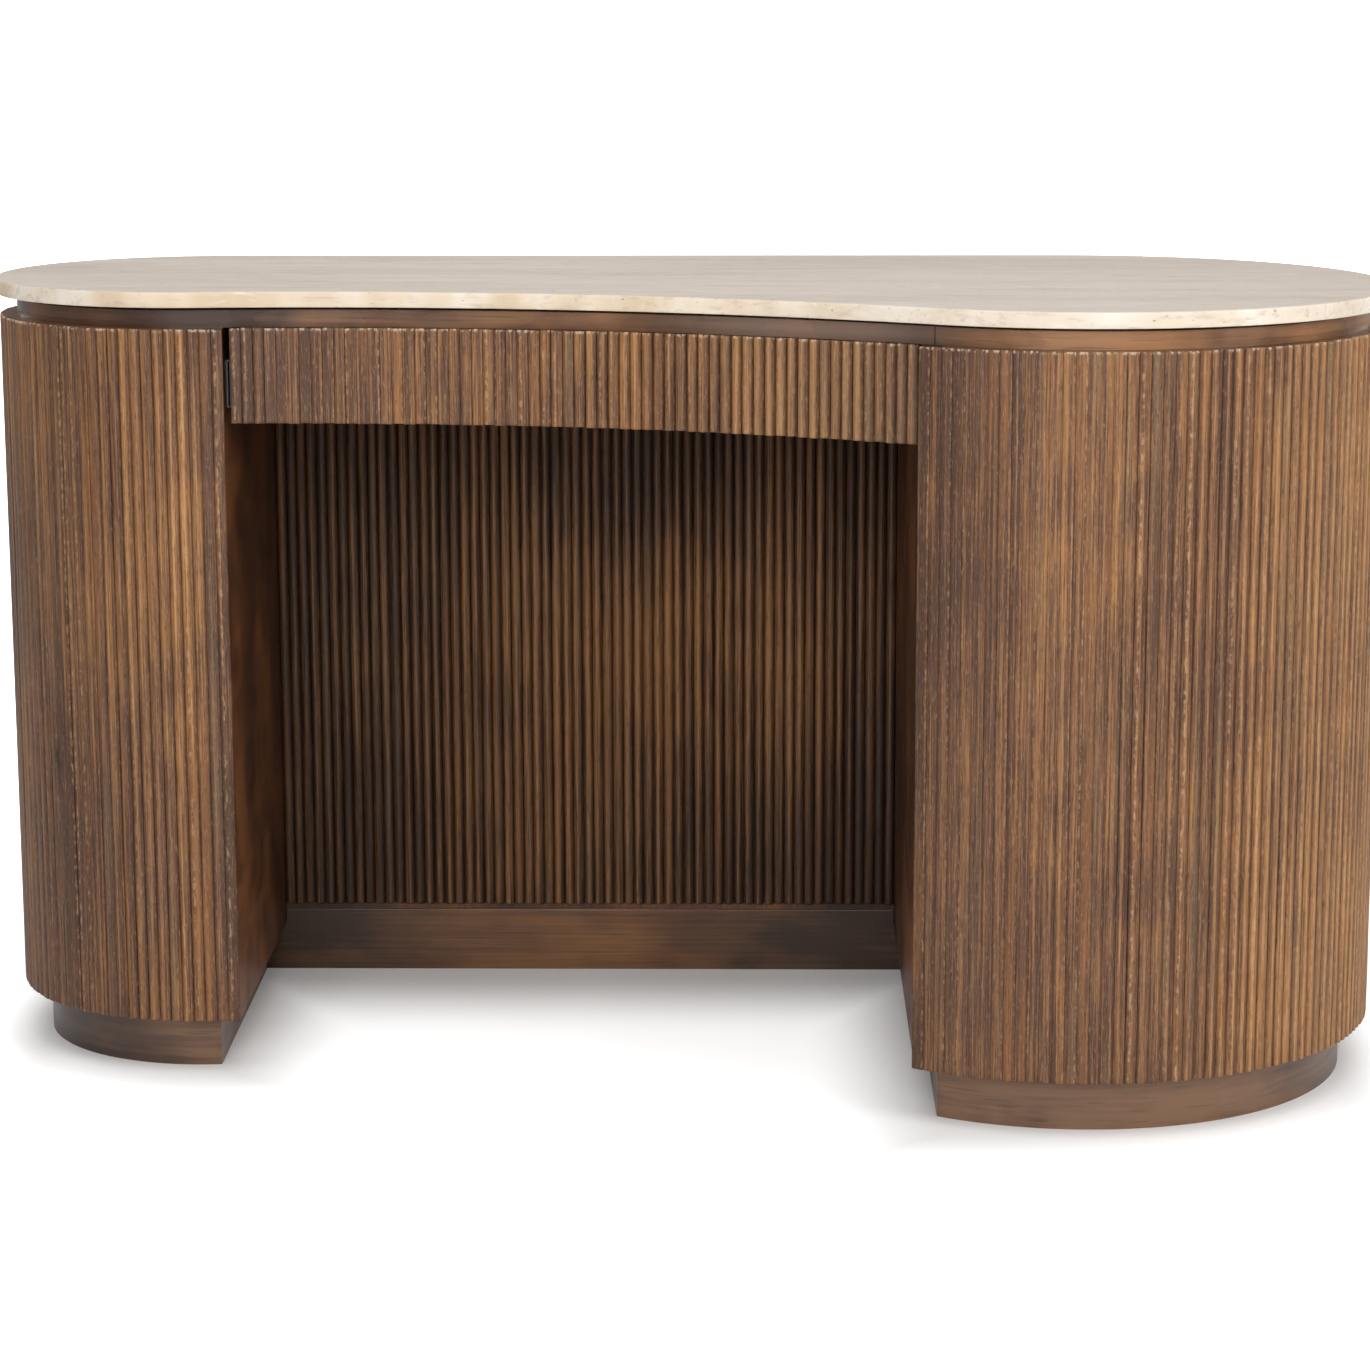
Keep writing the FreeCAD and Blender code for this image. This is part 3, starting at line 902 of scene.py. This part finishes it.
# Finishes. A palette runs from dark to light as (tone, colour).
materials = {
    "slat_wood": slat_wood(
        "slat_wood",
        palette=[(0.02, umber), (0.28, brown), (0.50, tan), (0.74, golden), (1.0, honey)],
        warm_stain=linear(150, 98, 52),
        cool_stain=linear(118, 98, 72),
        blotch_share=0.17,
        groove_shade_and_line_colour=linear(68, 46, 34),
        fleck_colour=linear(194, 156, 118),
        fleck_share=0.28,
    ),
    # Darker than the other slats' wood, partly stain and partly painted shade of the kneehole's recess
    "kneehole_wood": slat_wood(
        "kneehole_wood",
        palette=[
            (0.05, linear(52, 35, 24)), (0.30, linear(80, 54, 35)), (0.50, linear(104, 71, 43)),
            (0.72, linear(128, 88, 52)), (0.98, linear(148, 104, 62)),
        ],
        warm_stain=linear(112, 70, 36),
        cool_stain=linear(82, 66, 48),
        blotch_share=0.13,
        groove_shade_and_line_colour=linear(30, 19, 12),
        fleck_colour=linear(150, 116, 82),
        fleck_share=0.10,
    ),
    "travertine": travertine(),
    # The frieze's shades are partly painted shade and reflection, and its sheen is a painted reflection
    "frieze_wood": smooth_wood(
        "frieze_wood",
        grain_scale=(5.0, 5.0, 160.0),
        palette=[(0.10, linear(78, 54, 40)), (0.45, linear(122, 86, 60)), (0.90, linear(176, 128, 86))],
        blotch_share=0.36, roughness=0.28, coat=0.5,
        shades=[(-0.32, -0.06, -0.34, 0.02), (0.20, 0.30, 0.0, 0.16)],
        painted_sheen_x=0.12,
        seam_x=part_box("frieze_right")[0].x,
    ),
    # The plinths' shades are partly painted shade and painted reflection
    "plinth_wood": smooth_wood(
        "plinth_wood",
        grain_scale=(7.0, 7.0, 200.0),
        palette=[(0.15, linear(56, 42, 34)), (0.50, linear(86, 63, 48)), (0.85, linear(126, 94, 70))],
        blotch_share=0.20, roughness=0.34, coat=0.3,
        shades=[(-0.50, -0.40, -0.06, 0.10), (0.22, 0.34, 0.0, 0.12), (0.54, 0.64, 0.0, -0.26)],
    ),
    "rail_wood": smooth_wood(
        "rail_wood",
        grain_scale=(5.0, 5.0, 320.0),
        palette=[(0.15, linear(62, 46, 36)), (0.50, linear(98, 67, 44)), (0.85, linear(134, 92, 56))],
        blotch_share=0.14, roughness=0.40, coat=0.15,
        shades=[(-0.38, -0.18, -0.20, 0.16), (-0.10, 0.10, 0.0, -0.42)],
    ),
    "panel_wood": smooth_wood(
        "panel_wood",
        grain_scale=(260.0, 260.0, 7.0),
        palette=[(0.15, linear(56, 32, 18)), (0.50, linear(86, 51, 28)), (0.85, linear(124, 77, 40))],
        blotch_share=0.34, roughness=0.42, coat=0.15,
    ),
    "ledge_wood": smooth_wood(
        "ledge_wood",
        grain_scale=(9.0, 9.0, 260.0),
        palette=[(0.15, linear(88, 62, 46)), (0.50, linear(120, 86, 62)), (0.85, linear(150, 110, 78))],
        blotch_share=0.20, roughness=0.45, coat=0.0,
    ),
    # Dark wood for the sub_top, there so that the shadow gap under the slab reads dark: painted shade
    "painted_shadow_gap_wood": smooth_wood(
        "painted_shadow_gap_wood",
        grain_scale=(9.0, 9.0, 260.0),
        palette=[(0.15, linear(30, 21, 16)), (0.50, linear(42, 30, 22)), (0.85, linear(56, 40, 29))],
        blotch_share=0.15, roughness=0.6, coat=0.0,
    ),
    "carcass_wood": smooth_wood(
        "carcass_wood",
        grain_scale=(10.0, 240.0, 240.0),
        palette=[(0.15, linear(158, 124, 90)), (0.50, linear(178, 142, 104)), (0.85, linear(194, 160, 120))],
        blotch_share=0.12, roughness=0.55, coat=0.0,
    ),
    "runner_steel": zinc(),
}

# Nodes whose finish is not simply the one of their slot
# The sub_top takes the dark wood as painted shade in the gap under the slab
own_finish = {"sub_top": "painted_shadow_gap_wood", "back_panel": "panel_wood", "kneehole_rail": "rail_wood"}
for ledge in ("left_shell", "right_shell", "left_top_board", "right_top_board", "drawer_front"):
    own_finish[ledge] = "ledge_wood"
for plinth in ("left_plinth_band", "left_plinth_side", "right_plinth_band", "right_plinth_side"):
    own_finish[plinth] = "plinth_wood"
for part in frame["record"]["subparts"]:
    finish = own_finish.get(part["node"], part["material_slot"])
    finish_node(part["node"], materials[finish])

# Looks along X as (x, tone at the top, tone at the foot, smokiness, roundness). A foot darker than the top
# is painted shade towards the floor.
# Tone runs from 0, dark, to 1, honey, and roundness from 0, flat, to 1, round, or more.
left_run = [
    (-0.70, 0.36, 0.20, 0.10, 1.0), (-0.62, 0.26, 0.12, 0.10, 0.7), (-0.548, 0.26, 0.10, 0.10, 0.5),
    (-0.530, 0.44, 0.16, 0.0, 1.2), (-0.47, 0.46, 0.18, 0.0, 1.2), (-0.452, 0.12, -0.04, 0.08, 0.7),
    (-0.43, 0.02, -0.10, 0.12, 0.5),
]
right_run = [
    (0.21, 0.12, 0.04, 0.12, 0.2), (0.26, 0.12, 0.06, 0.14, 0.2), (0.318, 0.18, 0.12, 0.04, 0.2),
    (0.330, 0.29, 0.15, 0.0, 0.1), (0.385, 0.27, 0.17, 0.0, 0.2), (0.41, 0.22, 0.16, 0.04, 0.8),
    (0.47, 0.20, 0.16, 0.06, 1.1), (0.52, 0.36, 0.32, 0.10, 1.5), (0.58, 0.58, 0.50, 0.20, 1.8),
    (0.70, 0.58, 0.50, 0.24, 1.8),
]
drawer_run = [
    (-0.43, -0.20, -0.20, 0.22, 0.8), (-0.395, -0.14, -0.14, 0.20, 0.8), (-0.385, -0.05, -0.05, 0.05, 0.1),
    (-0.30, 0.07, 0.07, 0.0, 0.1), (-0.15, 0.22, 0.22, 0.0, 0.5), (-0.05, 0.52, 0.52, 0.08, 1.5),
    (0.02, 0.32, 0.32, 0.18, 1.7), (0.08, 0.70, 0.70, 0.26, 2.0), (0.17, 0.70, 0.70, 0.32, 2.0),
    (0.20, 0.54, 0.54, 0.50, 2.0), (0.23, 0.38, 0.38, 0.64, 2.0),
]
# The kneehole's dark ends beside the pedestals and its darker foot are painted shade of the recess
kneehole_run = [
    (-0.44, 0.12, 0.06, 0.0, 1.0), (-0.33, 0.26, 0.18, 0.0, 1.0), (-0.10, 0.48, 0.36, 0.0, 1.0),
    (0.10, 0.44, 0.26, 0.0, 1.0), (0.22, 0.08, 0.0, 0.0, 1.0),
]
back_run = [(-0.5, *rear_look), (0.3, *rear_look)]

# Soft patches on the tambours as (x, z, radius, added tone): sprayed stain, and in the kneehole the dark
# ones under the drawer and near the floor are painted shade
left_patches = [(-0.488, 0.44, 0.20, 0.22), (-0.59, 0.57, 0.10, -0.10)]
right_patches = [
    (0.42, 0.25, 0.08, -0.20), (0.51, 0.28, 0.12, 0.14), (0.585, 0.40, 0.10, -0.18),
    (0.37, 0.62, 0.16, 0.12), (0.25, 0.48, 0.12, -0.10), (0.30, 0.14, 0.14, -0.08),
]
kneehole_patches = [
    (-0.11, 0.34, 0.18, 0.22), (0.02, 0.40, 0.12, 0.18), (0.11, 0.33, 0.11, 0.18),
    (-0.05, 0.57, 0.20, -0.40), (0.02, 0.13, 0.15, -0.26), (0.17, 0.12, 0.16, -0.30),
    (-0.20, 0.285, 0.07, -0.16), (-0.30, 0.12, 0.13, -0.18),
]

# The desk's detailed pieces
tambour("left_tambour", "left_slats", "desk", "slat_wood", facing=-1, stops=left_run,
        rub_and_highlight_share=0.4, run_start=0.0, patches=left_patches)
tambour("right_tambour", "right_slats", "desk", "slat_wood", facing=1, stops=right_run,
        rub_and_highlight_share=0.45, run_start=3.0, patches=right_patches)
tambour("back_tambour", "back_slats", "desk", "slat_wood", facing=0, stops=back_run,
        rub_and_highlight_share=0.5, run_start=6.0)
tambour("drawer_tambour", "drawer_slats", "drawer", "slat_wood", facing=0, stops=drawer_run,
        rub_and_highlight_share=0.6, run_start=9.0)
tambour("kneehole_tambour", "kneehole_slats", "desk", "kneehole_wood", facing=0, stops=kneehole_run,
        rub_and_highlight_share=0.05, run_start=12.0, patches=kneehole_patches, reeded=True)
stone_slab()
rail_board()

# Studio, with each softbox's place, aim, width, height and watts
studio_floor()
soft_light("overhead_softbox", (0.0, -0.9, 4.0), (0.0, -0.2, 0.0), 5.0, 4.0, 112.0)
soft_light("front_softbox", (-0.4, -5.2, 2.3), (0.0, 0.0, 0.4), 3.2, 2.2, 146.0)
soft_light("left_back_softbox", (-3.4, 3.0, 2.0), (-0.3, 0.2, 0.4), 1.6, 2.0, 34.0)
soft_light("right_back_softbox", (3.4, 3.0, 2.0), (0.3, 0.2, 0.4), 1.6, 2.0, 46.0)
soft_light("right_softbox", (3.4, -2.2, 1.9), (0.4, 0.0, 0.4), 1.6, 2.0, 52.0)
studio_air()
bpy.context.scene.view_settings.view_transform = "Standard"
photo_camera()
